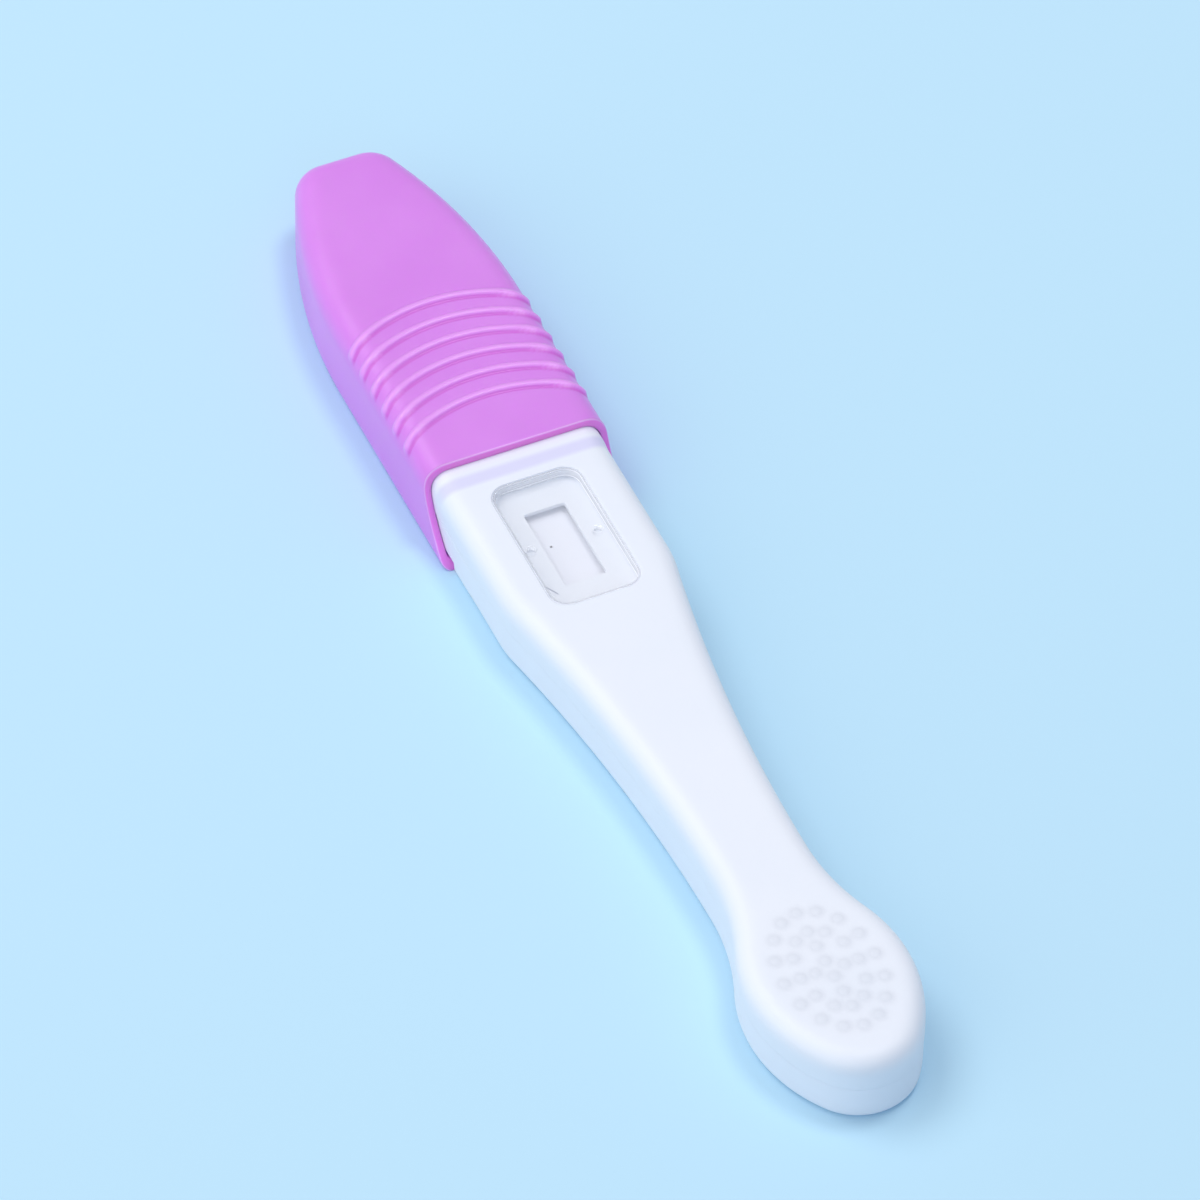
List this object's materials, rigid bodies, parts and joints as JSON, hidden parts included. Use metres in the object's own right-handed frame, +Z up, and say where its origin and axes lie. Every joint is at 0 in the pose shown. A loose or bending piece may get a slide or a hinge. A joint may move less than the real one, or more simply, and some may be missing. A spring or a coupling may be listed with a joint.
{
  "type": "pregnancy test stick",
  "caption": "Midstream pregnancy test stick: two-shell white handle with a clear window over the strip, a spoon-shaped grip, a fibre wick in the nose and a ribbed pull-off cap.",
  "frame": {"origin": "middle of the underside of the whole stick with its cap on", "axes": "+X from the cap's closed end towards the paddle's tip, +Y across the stick, +Z up through the window"},
  "size_m": [0.149, 0.0232, 0.0108],
  "materials": {
    "cap_plastic": "satin moulded",
    "shell_plastic": "satin moulded",
    "clear_lens": "clear polished plastic",
    "wick_fibre": "bonded fibre",
    "strip_card": "plain card",
    "pad_fibre": "absorbent paper",
    "strip_membrane": "plain membrane"
  },
  "bodies": {
    "handle": {"upper_shell": "shell_plastic", "lower_shell": "shell_plastic", "window_lens": "clear_lens", "absorbent_wick": "wick_fibre", "backing_card": "strip_card", "sample_pad": "pad_fibre", "conjugate_pad": "pad_fibre", "membrane": "strip_membrane", "absorbent_pad": "pad_fibre"},
    "cap": {"cap": "cap_plastic"}
  },
  "joints": [
    {"name": "cap_slide", "type": "slide", "parent": "handle", "child": "cap", "axis": [-1, 0, 0], "range_m": [0, 0.052]}
  ]
}
